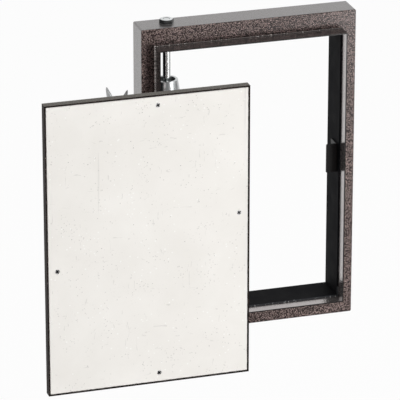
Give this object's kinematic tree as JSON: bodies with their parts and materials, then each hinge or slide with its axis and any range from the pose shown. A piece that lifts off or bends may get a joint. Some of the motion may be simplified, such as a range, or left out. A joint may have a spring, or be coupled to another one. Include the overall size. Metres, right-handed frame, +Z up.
{
  "type": "tile access panel",
  "caption": "Steel frame for a tiled wall with a board-filled tray door that swings forward and aside on an arm.",
  "frame": {"origin": "middle of the frame's underside, halfway between its front flange and its back rim", "axes": "+X to the right seen from the front, +Y back into the wall, +Z up"},
  "size_m": [0.3624, 0.1791, 0.334],
  "materials": {
    "hammer_paint": "brown hammered paint, glossy",
    "black_paint": "smooth satin black",
    "zinc_plate": "bright zinc plating",
    "screw_steel": "dull plated steel",
    "fibre_board": "off-white gypsum fibre board with grey specks",
    "bush_plastic": "dark moulded plastic",
    "catch_plastic": "black moulded plastic",
    "pole_steel": "bare steel"
  },
  "bodies": {
    "frame": {"frame_shell": "hammer_paint", "inner_sleeve": "black_paint", "keeper": "black_paint", "keeper_rivets": "black_paint", "pivot_bolt_top": "zinc_plate", "pivot_bolt_bottom": "zinc_plate", "lock_nut_top": "zinc_plate", "lock_nut_bottom": "zinc_plate", "support_nut": "zinc_plate", "thrust_washer": "zinc_plate"},
    "arm": {"swing_arm": "zinc_plate", "bush_top": "bush_plastic", "bush_bottom": "bush_plastic"},
    "door": {"door_tray": "hammer_paint", "door_board": "fibre_board", "board_screws": "screw_steel", "bracket_top": "zinc_plate", "bracket_bottom": "zinc_plate", "hinge_plate_top": "zinc_plate", "hinge_plate_bottom": "zinc_plate", "hinge_pin_top": "zinc_plate", "hinge_pin_bottom": "zinc_plate", "hinge_nut_top": "zinc_plate", "hinge_nut_bottom": "zinc_plate", "clamp_stud_top": "zinc_plate", "clamp_stud_bottom": "zinc_plate", "wing_washer_top": "zinc_plate", "wing_washer_bottom": "zinc_plate", "wing_nut_top": "zinc_plate", "wing_nut_bottom": "zinc_plate", "catch_case": "catch_plastic", "catch_poles": "pole_steel", "catch_screws": "screw_steel"}
  },
  "joints": [
    {"name": "arm_swing", "type": "hinge", "parent": "frame", "child": "arm", "pos_m": [-0.0815, 0.0025, 0.165], "axis": [0, 0, 1], "range_deg": [0, 91]},
    {"name": "door_turn", "type": "hinge", "parent": "arm", "child": "door", "pos_m": [-0.09703, -0.1296, 0.165], "axis": [0, 0, 1], "range_deg": [-91, 0]}
  ],
  "couplings": [
    {"joint": "door_turn", "follows": "arm_swing", "ratio": -1}
  ]
}
